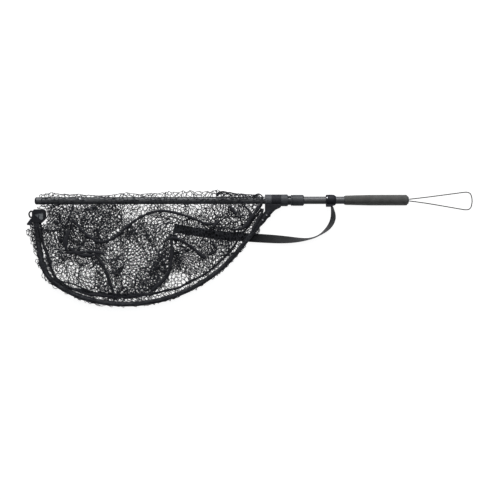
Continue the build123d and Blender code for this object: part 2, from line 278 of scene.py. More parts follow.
def add_world():
    world = bpy.data.worlds.new("studio")
    world.use_nodes = True
    background = world.node_tree.nodes["Background"]
    background.inputs["Color"].default_value = (0.9, 0.95, 1.0, 1)
    background.inputs["Strength"].default_value = 0.16
    bpy.context.scene.world = world
    bpy.context.scene.view_settings.view_transform = "Standard"


# ---- Materials ----

BLACK = (0, 0, 0)
WHITE = (1, 1, 1)
NOISE_ROUGHNESS = 0.55
WORN_POINTINESS = (0.52, 0.6)
CORD_ROUGHNESS = 0.8


class Surface:
    """A procedural material under construction."""

    def __init__(self, name):
        self.material = bpy.data.materials.new(name)
        self.material.use_nodes = True
        self.tree = self.material.node_tree
        self.shader = self.tree.nodes["Principled BSDF"]

    def node(self, kind, **values):
        made = self.tree.nodes.new(kind)
        for name, value in values.items():
            setattr(made, name, value)
        return made

    def link(self, source, target):
        self.tree.links.new(source, target)

    def set(self, roughness=0.5, metallic=0.0, specular=0.5, sheen=0.0):
        self.shader.inputs["Roughness"].default_value = roughness
        self.shader.inputs["Metallic"].default_value = metallic
        self.shader.inputs["Specular IOR Level"].default_value = specular
        self.shader.inputs["Sheen Weight"].default_value = sheen

    def colour(self, rgb):
        self.shader.inputs["Base Color"].default_value = (*rgb, 1)

    def place(self, stretch=(1, 1, 1), from_map=False):
        """The object's own coordinates, or the piece's map, stretched."""
        coordinates = self.node("ShaderNodeTexCoord")
        mapping = self.node("ShaderNodeMapping")
        mapping.inputs["Scale"].default_value = stretch
        self.link(coordinates.outputs["UV" if from_map else "Object"], mapping.inputs["Vector"])
        return mapping.outputs["Vector"]

    def noise(self, place, scale, detail=3.0):
        made = self.node("ShaderNodeTexNoise")
        made.inputs["Scale"].default_value = scale
        made.inputs["Detail"].default_value = detail
        made.inputs["Roughness"].default_value = NOISE_ROUGHNESS
        self.link(place, made.inputs["Vector"])
        return made.outputs["Fac"]

    def cells(self, place, scale):
        made = self.node("ShaderNodeTexVoronoi")
        made.inputs["Scale"].default_value = scale
        self.link(place, made.inputs["Vector"])
        return made.outputs["Distance"]

    def waves(self, place, scale, direction="X", distortion=0.0):
        made = self.node("ShaderNodeTexWave", bands_direction=direction)
        made.inputs["Scale"].default_value = scale
        made.inputs["Distortion"].default_value = distortion
        self.link(place, made.inputs["Vector"])
        return made.outputs["Fac"]

    def ramp(self, value, low, high):
        """Maps a value from 0..1 to low..high."""
        made = self.node("ShaderNodeMapRange")
        made.inputs["To Min"].default_value = low
        made.inputs["To Max"].default_value = high
        self.link(value, made.inputs["Value"])
        return made.outputs["Result"]

    def vary_colour(self, value, dark, light, start=0.3, end=0.7):
        ramp = self.node("ShaderNodeValToRGB")
        ramp.color_ramp.elements[0].position = start
        ramp.color_ramp.elements[0].color = (*dark, 1)
        ramp.color_ramp.elements[1].position = end
        ramp.color_ramp.elements[1].color = (*light, 1)
        self.link(value, ramp.inputs["Fac"])
        return ramp.outputs["Color"]

    def mix(self, share, first, second):
        made = self.node("ShaderNodeMix", data_type="RGBA")
        shown = {socket.name: socket for socket in made.inputs if socket.enabled}
        self.link(share, shown["Factor"])
        self.link(first, shown["A"])
        self.link(second, shown["B"])
        return next(socket for socket in made.outputs if socket.enabled)

    def math(self, operation, *values):
        made = self.node("ShaderNodeMath", operation=operation)
        for value, socket in zip(values, made.inputs):
            if isinstance(value, float):
                socket.default_value = value
            else:
                self.link(value, socket)
        return made.outputs["Value"]

    def base(self, colour):
        self.link(colour, self.shader.inputs["Base Color"])

    def rough(self, value):
        self.link(value, self.shader.inputs["Roughness"])

    def bump(self, height, distance, strength=0.6):
        """Adds relief, on top of the relief that is there already."""
        made = self.node("ShaderNodeBump")
        made.inputs["Strength"].default_value = strength
        made.inputs["Distance"].default_value = distance
        self.link(height, made.inputs["Height"])
        normal = self.shader.inputs["Normal"]
        if normal.links:
            self.link(normal.links[0].from_socket, made.inputs["Normal"])
        self.link(made.outputs["Normal"], normal)

    def worn_edges(self, body, worn):
        """Lightens a moulding's outer edges, where handling polishes it."""
        geometry = self.node("ShaderNodeNewGeometry")
        sharp = geometry.outputs["Pointiness"]
        return self.mix(self.vary_colour(sharp, BLACK, WHITE, *WORN_POINTINESS), body, worn)


def moulded_plastic(name, dark, light, roughness=0.5, specular=0.4):
    """Glass-filled nylon: fine leathery grain, cloudy colour and slightly polished edges."""
    surface = Surface(name)
    surface.set(roughness=roughness, specular=specular)
    place = surface.place()
    body = surface.vary_colour(surface.noise(place, 90, 4), dark, light)
    worn = surface.vary_colour(surface.noise(place, 400), light, tuple(2.2 * c for c in light))
    surface.base(surface.worn_edges(body, worn))
    surface.rough(surface.ramp(surface.noise(place, 160), roughness - 0.1, roughness + 0.12))
    surface.bump(surface.noise(place, 2600, 2), 0.00006)
    surface.bump(surface.noise(place, 220, 2), 0.00008, 0.3)
    return surface.material


def anodised_tube(name, dark, light, roughness=0.42):
    """Satin anodised aluminium, drawn along X, with faint rub marks round it."""
    surface = Surface(name)
    surface.set(roughness=roughness, metallic=0.5, specular=0.4)
    along = surface.place((6, 900, 900))
    around = surface.place((1200, 30, 30))
    drawn = surface.noise(along, 1.0, 4)
    body = surface.vary_colour(drawn, dark, light)
    marks = surface.noise(around, 1.0, 5)
    rubbed = surface.vary_colour(marks, BLACK, (0.5, 0.5, 0.5), 0.62, 0.74)
    bare = surface.vary_colour(drawn, light, tuple(1.8 * c for c in light))
    surface.base(surface.mix(rubbed, body, bare))
    surface.rough(surface.ramp(surface.noise(along, 1.3), roughness - 0.06, roughness + 0.1))
    surface.bump(drawn, 0.00002, 0.4)
    return surface.material


def bright_steel(name):
    """Plated steel, dulled and finely scratched."""
    surface = Surface(name)
    surface.set(roughness=0.45, metallic=0.9)
    place = surface.place()
    cloudy = surface.noise(place, 700)
    surface.base(surface.vary_colour(cloudy, (0.42, 0.43, 0.45), (0.62, 0.63, 0.65)))
    surface.rough(surface.ramp(surface.noise(place, 500, 5), 0.35, 0.55))
    surface.bump(surface.noise(place, 1500), 0.00001, 0.3)
    return surface.material


def tip_plastic_with_painted_light(name, recess_z):
    """The tip blocks' plastic: dark, with the recess floor at this height painted lighter grey,
    as painted light on a floor that the lamps leave in shade.
    """
    surface = Surface(name)
    surface.set(roughness=0.5, specular=0.2)
    place = surface.place()
    coarse, fine = surface.noise(place, 120, 4), surface.noise(place, 160, 4)
    outside = surface.vary_colour(coarse, (0.010, 0.0105, 0.014), (0.022, 0.023, 0.028))
    # Painted light: the recess floor's colour is much lighter than the block's, standing in for
    # light falling on it.
    floor = surface.vary_colour(fine, (0.10, 0.108, 0.116), (0.27, 0.285, 0.30))
    apart = surface.node("ShaderNodeSeparateXYZ")
    surface.link(place, apart.inputs["Vector"])
    height = surface.math("ABSOLUTE", apart.outputs["Z"])
    surface.base(surface.mix(surface.math("COMPARE", height, recess_z, 0.0001), outside, floor))
    surface.rough(surface.ramp(surface.noise(place, 160), 0.42, 0.6))
    surface.bump(surface.noise(place, 2600, 2), 0.00006)
    return surface.material


def foam(name):
    """Closed-cell foam: fine pores, cut flat on a lathe, paler where hands have worn it."""
    surface = Surface(name)
    surface.set(roughness=0.85, specular=0.25, sheen=0.15)
    place = surface.place()
    pores = surface.cells(place, 1500)
    worn, grain = surface.noise(place, 60, 5), surface.noise(place, 900)
    body = surface.vary_colour(worn, (0.072, 0.072, 0.07), (0.115, 0.115, 0.111))
    pore = surface.vary_colour(grain, (0.037, 0.037, 0.036), (0.062, 0.062, 0.061))
    deep = surface.vary_colour(pores, WHITE, BLACK, 0.06, 0.28)
    surface.base(surface.mix(deep, body, pore))
    surface.bump(pores, 0.00025, 0.5)
    surface.bump(surface.waves(place, 480, "X", 0.6), 0.00003, 0.25)
    return surface.material


def woven_strap(name):
    """Nylon webbing: ribs along it and picks across it, in the strap's own map."""
    surface = Surface(name)
    surface.set(roughness=0.7, specular=0.3, sheen=0.25)
    place = surface.place(from_map=True)
    picks = surface.waves(place, 260, "X", 0.3)
    ends = surface.waves(place, 330, "Y", 0.2)
    weave = surface.math("MULTIPLY", picks, ends)
    body = surface.vary_colour(weave, (0.006, 0.0065, 0.008), (0.023, 0.024, 0.027), 0.1, 0.8)
    faded = surface.vary_colour(weave, (0.011, 0.012, 0.014), (0.034, 0.035, 0.038), 0.1, 0.8)
    patch = surface.vary_colour(surface.noise(surface.place(), 30, 4), BLACK, WHITE, 0.4, 0.7)
    surface.base(surface.mix(patch, body, faded))
    surface.bump(weave, 0.0002, 0.6)
    surface.bump(surface.noise(surface.place(), 3000), 0.00005, 0.3)
    return surface.material


def twisted_cord(name, dark, light, twist=1400, fuzz=0.25):
    """Twisted or braided yarn: slanting strands, fibres and a little fuzz."""
    surface = Surface(name)
    surface.set(roughness=CORD_ROUGHNESS, specular=0.3, sheen=fuzz)
    place = surface.place()
    one_way = surface.waves(surface.place((1, 1, 0.6)), twist, "DIAGONAL", 1.5)
    strands = surface.math("MULTIPLY", one_way, surface.noise(place, 2 * twist, 2))
    surface.base(surface.vary_colour(strands, dark, light, 0.1, 0.6))
    uneven = surface.noise(place, 300)
    surface.rough(surface.ramp(uneven, CORD_ROUGHNESS - 0.12, CORD_ROUGHNESS + 0.1))
    surface.bump(strands, 0.00015, 0.5)
    return surface.material


def netting_yarn(name, dark, light):
    """Black twisted yarn, coated, so that it is a little glossy where it bends."""
    surface = Surface(name)
    surface.set(roughness=0.6, specular=0.35)
    place = surface.place()
    surface.base(surface.vary_colour(surface.noise(place, 35, 3), dark, light))
    surface.rough(surface.ramp(surface.noise(place, 120), 0.45, 0.75))
    surface.bump(surface.waves(place, 1300, "DIAGONAL", 1.0), 0.00012, 0.5)
    return surface.material


def paint(material, *nodes):
    """Puts a material in every slot of these CAD nodes."""
    for name in nodes:
        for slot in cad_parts[name].material_slots:
            slot.material = material


def dress_frame():
    """Gives every CAD node its finish."""
    hub = moulded_plastic("hub_nylon", (0.028, 0.030, 0.035), (0.046, 0.048, 0.054), 0.5)
    paint(hub, "hub_sleeve", "dog_ring", "lock_collar", "thrust_washer", "rear_bracket")
    bracket = moulded_plastic(
        "bracket_nylon", (0.009, 0.0095, 0.012), (0.017, 0.0175, 0.021), 0.6, specular=0.15
    )
    paint(bracket, "front_bracket")
    cuff = moulded_plastic(
        "cuff_nylon", (0.012, 0.0126, 0.017), (0.021, 0.0217, 0.0275), 0.55, specular=0.22
    )
    paint(cuff, "strap_cuff", "strap_keeper", "tip_hook", "end_cap", "tube_cap")
    recess_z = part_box("front_tip_block")[1].z - TIP_RECESS
    # The tip blocks' recess floors carry painted light.
    paint(tip_plastic_with_painted_light("tip_nylon_painted_recess_light", recess_z), "front_tip_block", "rear_tip_block")
    bush = moulded_plastic("bush_acetal", (0.25, 0.25, 0.24), (0.36, 0.36, 0.34), 0.35)
    paint(bush, "guide_bush_left", "guide_bush_right")
    bare_tube = anodised_tube("tube_anodised", (0.088, 0.09, 0.094), (0.15, 0.153, 0.158))
    paint(bare_tube, "handle_tube")
    dark_arm = anodised_tube("arm_anodised", (0.045, 0.046, 0.05), (0.08, 0.082, 0.088), 0.45)
    paint(dark_arm, "front_hoop_arm", "rear_hoop_arm")
    bright = bright_steel("rivet_steel")
    paint(bright, "front_rivets", "rear_rivets", "cuff_rivet", "stow_button", "extend_button")
    paint(bright, "stow_spring", "extend_spring", "lanyard_grommet")
    paint(foam("foam_grip"), "grip_foam")
    trim = moulded_plastic("trim_rubber", (0.02, 0.02, 0.021), (0.03, 0.03, 0.032), 0.6)
    paint(trim, "grip_front_ring")
    paint(twisted_cord("elastic_braid", (0.006, 0.006, 0.008), (0.03, 0.03, 0.034)), "tip_loop")


# ---- Meshes ----


def add_mesh(name, points, faces, material):
    mesh = bpy.data.meshes.new(name)
    mesh.from_pydata([tuple(p) for p in points], [], [tuple(int(i) for i in f) for f in faces])
    mesh.update()
    mesh.polygons.foreach_set("use_smooth", [True] * len(mesh.polygons))
    mesh.materials.append(material)
    obj = bpy.data.objects.new(name, mesh)
    bpy.context.scene.collection.objects.link(obj)
    return obj


def unit(vectors):
    return vectors / np.maximum(np.linalg.norm(vectors, axis=-1, keepdims=True), 1e-12)


def ripple(rng, wavelength):
    """A smooth random field in plan, of about unit size, that waves this often."""
    angles = rng.uniform(0, 2 * math.pi, RIPPLE_TERMS)
    steps = 2 * math.pi / wavelength * rng.uniform(0.7, 1.4, RIPPLE_TERMS)
    phases = rng.uniform(0, 2 * math.pi, RIPPLE_TERMS)

    def field(x, y):
        total = np.zeros_like(x)
        for angle, step, phase in zip(angles, steps, phases):
            total += np.sin(step * (x * math.cos(angle) + y * math.sin(angle)) + phase)
        return total / math.sqrt(RIPPLE_TERMS / 2)

    return field


def new_curve(name, route):
    """The smooth line with these control points, as a curve."""
    data = bpy.data.curves.new(name, "CURVE")
    data.dimensions = "3D"
    spline = data.splines.new("NURBS")
    spline.points.add(len(route) - 1)
    for point, at in zip(spline.points, route):
        point.co = (*at, 1)
    spline.order_u = 3
    spline.use_endpoint_u = True
    spline.resolution_u = 16
    obj = bpy.data.objects.new(name, data)
    bpy.context.scene.collection.objects.link(obj)
    return obj


def smooth_line(route):
    """Points along the smooth line with these control points."""
    curve = new_curve("line", route)
    mesh = bpy.data.meshes.new_from_object(curve)
    points = np.array([v.co for v in mesh.vertices], float)
    bpy.data.meshes.remove(mesh)
    bpy.data.objects.remove(curve)
    return points


def in_metres(route):
    return [tuple(c * MM for c in point) for point in route]


def evenly(points, step):
    """The same line, with its points this far apart."""
    lengths = np.linalg.norm(np.diff(points, axis=0), axis=1)
    along = np.concatenate(([0.0], np.cumsum(lengths)))
    wanted = np.linspace(0, along[-1], max(2, round(along[-1] / step)))
    return np.stack([np.interp(wanted, along, points[:, i]) for i in range(3)], 1), wanted


def frames_along(points):
    """The sideways (level) and upward directions at each point of a line."""
    along = unit(np.gradient(points, axis=0))
    side = unit(np.cross((0, 0, 1), along))
    return side, np.cross(along, side)


def skin(rings, count):
    """The faces of a closed form from rings of this many vertices, with both ends capped."""
    faces = []
    for i in range(rings - 1):
        for j in range(count):
            k = (j + 1) % count
            faces.append((i * count + j, i * count + k, (i + 1) * count + k, (i + 1) * count + j))
    faces.append(range(count - 1, -1, -1))
    faces.append(range((rings - 1) * count, rings * count))
    return faces


def tube_mesh(points, radius, flatten, offset):
    """Vertices and faces of a closed tube with these radii; flatten thins it upwards."""
    side, up = frames_along(points)
    turns = np.linspace(0, 2 * math.pi, TUBE_SIDES, endpoint=False)[None, :, None]
    ring = np.cos(turns) * side[:, None] + flatten * np.sin(turns) * up[:, None]
    vertices = (points[:, None] + ring * np.asarray(radius)[:, None, None]).reshape(-1, 3)
    faces = skin(len(points), TUBE_SIDES)
    return vertices, [[index + offset for index in face] for face in faces]


def add_tubes(name, lines, material):
    """One piece made of several closed tubes, each (points, radii, flatten)."""
    vertices, faces = [], []
    for points, radii, flatten in lines:
        more, more_faces = tube_mesh(points, radii, flatten, sum(map(len, vertices)))
        vertices.append(more)
        faces += more_faces
    return add_mesh(name, np.concatenate(vertices), faces, material)


def add_threads(name, starts, ends, radius, material):
    """Straight lengths of thread, each an open four-sided prism."""
    ahead = unit(ends - starts)
    side = unit(np.cross(ahead, (0.31, 0.17, 0.93)))
    up = np.cross(ahead, side)
    overlap = ahead * 0.4 * radius
    corners = [radius * corner for corner in (side, up, -side, -up)]
    rings = [at + corner for at in (starts - overlap, ends + overlap) for corner in corners]
    vertices = np.stack(rings, 1).reshape(-1, 3)
    first = 8 * np.arange(len(starts))[:, None, None]
    walls = [(j, (j + 1) % 4, 4 + (j + 1) % 4, 4 + j) for j in range(4)]
    faces = (first + np.array(walls)[None]).reshape(-1, 4)
    return add_mesh(name, vertices, faces, material)


# ---- The hoop in plan ----


def hoop_samples():
    """Points on the hoop's outer edge, and the directions inward from it."""
    heading = HOOP_HEADING
    at = np.array(HOOP_START)
    points, inward = [], []
    ahead = np.array((math.cos(heading), math.sin(heading)))
    for i in range(round(HOOP_STRAIGHT / HOOP_STEP)):
        points.append(at + i * HOOP_STEP * ahead)
        inward.append((math.sin(heading), -math.cos(heading)))
    at = at + HOOP_STRAIGHT * ahead
    for radius, turn in HOOP_ARCS:
        centre = at + radius * np.array((math.sin(heading), -math.cos(heading)))
        steps = round(radius * math.radians(turn) / HOOP_STEP)
        for i in range(steps):
            now = heading - math.radians(turn) * i / steps
            normal = np.array((math.sin(now), -math.cos(now)))
            points.append(centre - radius * normal)
            inward.append(normal)
        heading -= math.radians(turn)
        at = centre - radius * np.array((math.sin(heading), -math.cos(heading)))
    return np.array(points), np.array(inward)


HOOP, INWARD = hoop_samples()
HOOP_SHARE = np.linspace(0, 1, len(HOOP))


def hoop_line(inset):
    """The hoop's outline, this far inside its outer edge. The inset may change along it."""
    return HOOP + INWARD * np.broadcast_to(inset, len(HOOP))[:, None]


def along_hoop(table):
    """A value that changes along the hoop, from a table of shares and values."""
    return np.interp(HOOP_SHARE, *zip(*table))


def fringe_inset():
    """The netting's edge hangs out past the hoop's outer edge, most near the tip."""
    return -along_hoop(FRINGE_REACHES)


def hoop_region(inset, top):
    """The outline of the space inside the hoop, up to a height in plan."""
    corners = [
        (TIP_BLOCK_X - 0.002, TIP_BLOCK_LOW_Y),
        (TIP_BLOCK_X - 0.002, TIP_BLOCK_HIGH_Y),
        (TUBE_END_X, TIP_BLOCK_HIGH_Y),
        (TUBE_END_X + 0.006, top),
        (HUB_END_X + 0.014, top),
        (HUB_END_X + 0.012, -0.030),
        (HUB_END_X + 0.001, -0.054),
    ]
    return np.concatenate((hoop_line(inset), corners))


def inside(outline, x, y):
    """Which points are inside a closed outline in plan."""
    found = np.zeros(len(x), bool)
    for (x0, y0), (x1, y1) in zip(outline, np.roll(outline, -1, axis=0)):
        if y0 != y1:
            crosses = (y0 > y) != (y1 > y)
            found ^= crosses & (x < (x1 - x0) * (y - y0) / (y1 - y0) + x0)
    return found


# ---- Netting ----


def honeycomb(width, height):
    """Nodes and threads of flat hexagonal netting, centred on the origin."""
    pitch = math.sqrt(3) * MESH_SIDE
    columns = math.ceil(width / pitch) + 2
    rows = math.ceil(height / (1.5 * MESH_SIDE)) + 2
    column, row = np.meshgrid(np.arange(columns), np.arange(rows))
    low = np.stack((pitch * (column + 0.5 * (row % 2)), 1.5 * MESH_SIDE * row), -1)
    high = low + (0, MESH_SIDE)
    nodes = np.concatenate((low.reshape(-1, 2), high.reshape(-1, 2)))
    nodes -= nodes.mean(0)
    index = column + columns * row
    count = columns * rows
    pairs = [np.stack((index, index + count), -1).reshape(-1, 2)]
    for shift in (0, 1):
        across = column + (row % 2) + shift - 1
        reached = (across >= 0) & (across < columns) & (row + 1 < rows)
        above = across + columns * (row + 1)
        pairs.append(np.stack((index[reached] + count, above[reached]), -1))
    return nodes, np.concatenate(pairs)


def push_out(points):
    """Moves netting off the handle tube and drapes it over the hoop's arms."""
    radius = np.hypot(points[:, 1], points[:, 2])
    near = radius < TUBE_CLEAR
    points[near, 1:] *= (TUBE_CLEAR / np.maximum(radius[near], 1e-6))[:, None]
    arm = hoop_line(ARM_INSET)
    side = np.where(points[:, 2] > 0, 1, -1)
    for block in np.array_split(np.arange(len(points)), max(1, len(points) // 2000)):
        gaps = points[block, None, :2] - arm[None]
        nearest = np.argmin((gaps**2).sum(-1), axis=1)
        across = (gaps[np.arange(len(block)), nearest] * INWARD[nearest]).sum(-1)
        beyond = (nearest == 0) | (nearest == len(arm) - 1)
        close = (np.abs(across) < ARM_CLEAR) & ~beyond
        over = block[close]
        rise = np.sqrt(ARM_CLEAR**2 - across[close] ** 2)
        height = side[over] * points[over, 2]
        points[over, 2] = side[over] * np.maximum(height, ARM_Z + rise)


def clear_of_tip(points):
    """Which points are outside the tip block and what is beside it."""
    x, y = points[:, 0], points[:, 1]
    beside = (y > TIP_BLOCK_LOW_Y - THREAD_R) & (y < TIP_BLOCK_HIGH_Y + THREAD_R)
    return ~(beside & (x < TIP_BLOCK_X + THREAD_R))


def relax(points, pairs, heights):
    """Gives the threads their own length back, within a range of heights."""
    first, second = pairs.T
    ties = np.bincount(pairs.ravel(), minlength=len(points)).clip(1)
    for _ in range(RELAX_ROUNDS):
        gap = points[second] - points[first]
        length = np.linalg.norm(gap, axis=1)
        pull = gap * (0.5 * (1 - MESH_SIDE / np.maximum(length, 1e-6)))[:, None]
        for axis in range(3):
            move = np.bincount(first, pull[:, axis], len(points))
            move -= np.bincount(second, pull[:, axis], len(points))
            points[:, axis] += RELAX_PULL * move / ties
        points[:, 2] = points[:, 2].clip(*heights)
    return points


def keep_threads(points, pairs, kept):
    """The threads whose two nodes are kept, without loose ends."""
    pairs = pairs[kept[pairs].all(1)]
    for _ in range(3):
        ties = np.bincount(pairs.ravel(), minlength=len(points))
        pairs = pairs[(ties[pairs] > 1).all(1)]
    return points[pairs[:, 0]], points[pairs[:, 1]]


def spread_netting(outline, turn, squeeze):
    """Flat netting over an outline, pushed together along its own two axes, which are turned."""
    low, high = outline.min(0) - LEAF_MARGIN, outline.max(0) + LEAF_MARGIN
    reach = np.linalg.norm(high - low)
    nodes, pairs = honeycomb(reach / squeeze[0], reach / squeeze[1])
    angle = math.radians(turn)
    along = np.array((math.cos(angle), math.sin(angle)))
    across = np.array((-math.sin(angle), math.cos(angle)))
    placed = nodes[:, :1] * squeeze[0] * along + nodes[:, 1:] * squeeze[1] * across
    placed += (low + high) / 2
    near = ((placed > low) & (placed < high)).all(1)
    renumbered = np.cumsum(near) - 1
    return placed[near], renumbered[pairs[near[pairs].all(1)]]


def crumple(rng, plan, heights, fold):
    """Drags flat netting into wide and small folds, and lifts it within its heights."""
    x, y = plan.T
    moved = []
    for place in (x, y):
        place = place + fold * ripple(rng, FOLD_WAVE)(x, y)
        moved.append(place + SMALL_FOLD * ripple(rng, SMALL_FOLD_WAVE)(x, y))
    middle, half = (heights[1] + heights[0]) / 2, (heights[1] - heights[0]) / 2
    z = middle + 0.8 * half * np.clip(ripple(rng, LIFT_WAVE)(x, y), -1.2, 1.2)
    points = np.stack((*moved, z), 1)
    return points + rng.normal(0, NODE_JITTER, points.shape)


def leaf(seed, half, outline, turn, squeeze, heights, fold=0.008):
    """A leaf of the bag, as its threads' starts and ends. half is 1 in front and -1 behind."""
    rng = np.random.default_rng(seed)
    plan, pairs = spread_netting(outline, turn, squeeze)
    points = relax(crumple(rng, plan, heights, fold), pairs, heights)
    push_out(points)
    ragged = RAGGED_EDGE * ripple(rng, RAGGED_WAVE)(points[:, 0], points[:, 1])
    kept = inside(outline, points[:, 0] + ragged, points[:, 1] + ragged) & clear_of_tip(points)
    points[:, 2] *= half
    return keep_threads(points, pairs, kept)


def add_netting(name, leaves, material):
    """One piece of netting from several leaves, and its flat area."""
    starts = np.concatenate([a for a, _ in leaves])
    ends = np.concatenate([b for _, b in leaves])
    piece = add_threads(name, starts, ends, THREAD_R, material)
    length = np.linalg.norm(ends - starts, axis=1).sum()
    return piece, length / MESH_SIDE * CELL_AREA_PER_THREAD


def plan_outline(*corners):
    """An outline in plan from corners in millimetres."""
    return np.array(corners) * MM


# Where the gathered bag lies more thickly: two leaves that spare its thin places, then patches.
FRONT_INNER = plan_outline(
    (-662, -5), (-468, -5), (-462, -42), (-446, -58), (-418, -38), (-398, -46), (-376, -64),
    (-342, -66), (-322, -34), (-290, -42), (-266, -30), (-246, -5), (-126, -5), (-128, -28),
    (-140, -54), (-196, -128), (-258, -182), (-290, -176), (-346, -180), (-356, -204),
    (-385, -224), (-470, -238), (-530, -228), (-538, -168), (-598, -146), (-628, -165),
    (-652, -130), (-662, -60),
)
REAR_INNER = plan_outline(
    (-662, -5), (-462, -5), (-456, -34), (-436, -46), (-408, -30), (-398, -5), (-332, -5),
    (-322, -26), (-296, -36), (-275, -28), (-258, -5), (-126, -5), (-128, -28), (-140, -54),
    (-214, -146), (-264, -186), (-298, -192), (-304, -180), (-340, -178), (-354, -200),
    (-385, -220), (-450, -238), (-530, -230), (-545, -206), (-572, -196), (-596, -178),
    (-624, -188), (-642, -165), (-656, -120), (-662, -40),
)
LEFT_WIDE = plan_outline(
    (-662, -60), (-655, -18), (-560, -26), (-548, -5), (-466, -5), (-462, -40), (-468, -66),
    (-500, -88), (-504, -124), (-520, -148), (-604, -140), (-616, -160), (-624, -120),
    (-640, -124), (-656, -140),
)
LEFT_NARROW = plan_outline(
    (-640, -34), (-556, -36), (-540, -8), (-492, -8), (-458, -44), (-474, -70), (-500, -80),
    (-492, -112), (-504, -134), (-540, -140), (-586, -134), (-606, -124), (-618, -80),
)
CENTRE = plan_outline(
    (-490, -80), (-440, -62), (-418, -56), (-384, -44), (-368, -66), (-330, -66), (-318, -90),
    (-350, -104), (-396, -118), (-430, -108), (-480, -110),
)
MIDDLE_LOW = plan_outline(
    (-384, -124), (-352, -84), (-342, -110), (-318, -126), (-314, -164), (-346, -176),
    (-354, -194), (-386, -222), (-430, -240), (-508, -240), (-502, -206), (-440, -196),
    (-428, -165), (-400, -150),
)
MIDDLE_DARK = plan_outline(
    (-384, -138), (-360, -108), (-340, -124), (-316, -134), (-316, -164), (-346, -178),
    (-362, -204), (-400, -238), (-440, -240), (-420, -190), (-404, -180),
)
UPRIGHT_FOLD = plan_outline(
    (-538, -126), (-508, -128), (-502, -170), (-500, -232), (-526, -228), (-530, -170)
)
RIGHT_WIDE = plan_outline(
    (-352, -88), (-340, -64), (-300, -66), (-262, -56), (-200, -56), (-178, -88), (-214, -124),
    (-232, -148), (-262, -154), (-284, -150), (-276, -112), (-300, -106), (-330, -112),
)
RIGHT_TOP = plan_outline(
    (-294, -60), (-286, -36), (-262, -32), (-206, -34), (-198, -46), (-206, -62), (-240, -60)
)
RIGHT_LOW = plan_outline(
    (-280, -86), (-180, -84), (-200, -110), (-254, -116), (-282, -104)
)


def hoop_strip(outer, inner, first=0.0, last=1.0):
    """The outline of a strip along the hoop between two insets, over a range of its shares."""
    part = (HOOP_SHARE >= first) & (HOOP_SHARE <= last)
    return np.concatenate((hoop_line(outer)[part], hoop_line(inner)[part][::-1]))


# The bag's sewn seams and cords, in millimetres: radii evenly along each, then control points.
SEAMS = {
    "long": ((3.0, 3.4, 3.4, 3.4, 3.6, 2.2), [
        (-582, -42), (-565, -66), (-540, -88), (-521, -99), (-502, -99), (-477, -88), (-449, -61),
        (-418, -39), (-387, -27), (-363, -24), (-326, -31), (-288, -45), (-260, -57), (-243, -57),
        (-229, -49),
    ]),
    "long_tail": ((2.2, 3.4, 4.0), [(-228, -48), (-238, -57), (-246, -66)]),
    "short": ((2.7, 2.4), [(-583, -45), (-581, -62), (-577, -78), (-571, -88)]),
    "corner_upright": ((3.0, 5.4, 4.2), [(-586, -70), (-595, -88), (-598, -106), (-594, -122)]),
    "corner_top": ((3.3, 3.6, 4.6), [
        (-596, -124), (-566, -125), (-543, -122), (-523, -123), (-504, -128)
    ]),
    "corner_under": ((2.6, 4.2, 3.4), [(-590, -110), (-574, -126), (-552, -133), (-526, -130)]),
    "left_drop": ((3.4, 4.4, 3.2), [
        (-529, -122), (-516, -142), (-505, -158), (-495, -183), (-487, -208), (-481, -228)
    ]),
    "low_line": ((1.8, 2.0), [
        (-616, -188), (-598, -197), (-578, -199), (-560, -208), (-535, -218)
    ]),
    "middle_drop": ((3.4, 4.0), [
        (-342, -86), (-344, -118), (-344, -145), (-350, -174), (-369, -199), (-392, -217)
    ]),
    "middle_slope": ((3.0, 3.4, 4.4), [
        (-365, -101), (-347, -88), (-325, -92), (-296, -110), (-278, -127), (-262, -139)
    ]),
    "hook": ((2.2, 2.6), [(-251, -94), (-242, -105), (-235, -116), (-240, -126), (-257, -129)]),
    "hub_loop": ((2.6, 3.2), [(-172, -13), (-158, -23), (-153, -37), (-158, -53)]),
    "hub_band": ((4.0, 5.0, 4.4, 2.8), [
        (-133, -13), (-143, -29), (-155, -45), (-164, -61), (-178, -70), (-198, -70)
    ]),
    "hub_side": ((2.6, 3.8, 4.2, 2.8), [
        (-124, -20), (-128, -32), (-135, -44), (-141, -56), (-147, -67), (-154, -80)
    ]),
    "knot_drop": ((4.4, 3.6), [(-206, -12), (-201, -19), (-196, -27), (-187, -35)]),
}


def seam_line(route, height):
    """A seam's even points, at a height that waves a little."""
    control = [
        (x * MM, y * MM, height + SEAM_WAVE * math.sin(0.9 * i)) for i, (x, y) in enumerate(route)
    ]
    return evenly(smooth_line(control), SEAM_STEP)[0]


def soft_radii(rng, count, radius, change=0.18):
    """A seam's radius, a little uneven, and rounded off at both ends."""
    wave = ripple(rng, 9.0)
    index = np.arange(count, dtype=float)
    radii = radius * (1 + change * wave(index, 0 * index) * 0.6)
    ends = np.minimum(index, count - 1 - index)
    return radii * np.sqrt(np.clip((ends + 0.35) / 2.0, 0.1, 1.0))


def add_seams(material):
    rng = np.random.default_rng(11)
    lines = []
    for radii_mm, route in SEAMS.values():
        points = seam_line(route, SEAM_Z)
        given = np.linspace(0, 1, len(radii_mm))
        radii = np.interp(np.linspace(0, 1, len(points)), given, radii_mm)
        lines.append((points, radii * soft_radii(rng, len(points), MM), SEAM_FLATNESS))
    seams = add_tubes("bag_seams", lines, material)
    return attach(seams, "front_half")


